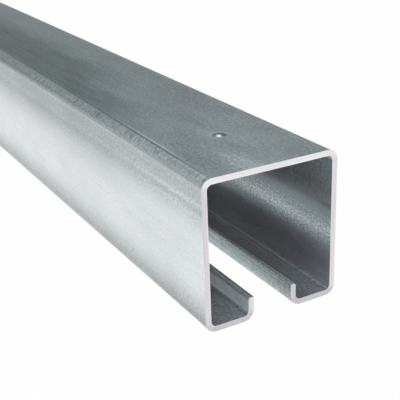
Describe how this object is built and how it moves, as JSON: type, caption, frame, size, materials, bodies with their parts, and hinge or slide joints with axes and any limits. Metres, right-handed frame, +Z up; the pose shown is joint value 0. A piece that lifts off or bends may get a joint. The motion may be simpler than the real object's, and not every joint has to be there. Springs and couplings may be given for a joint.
{
  "type": "monorail track",
  "caption": "Length of galvanised steel box track with a lipped slot along its underside, in which trolley wheels run.",
  "frame": {"origin": "midway along the rail, on its centre plane, at the level of the floor it lies on", "axes": "+X along the rail towards the end with the pip, +Y across it, +Z up from the slot side to the closed top"},
  "size_m": [1, 0.0624, 0.0655],
  "materials": {
    "galvanised_steel": "zinc-coated sheet, satin and mottled, with sawn ends"
  },
  "bodies": {
    "root": {"track_rail": "galvanised_steel"}
  },
  "joints": []
}
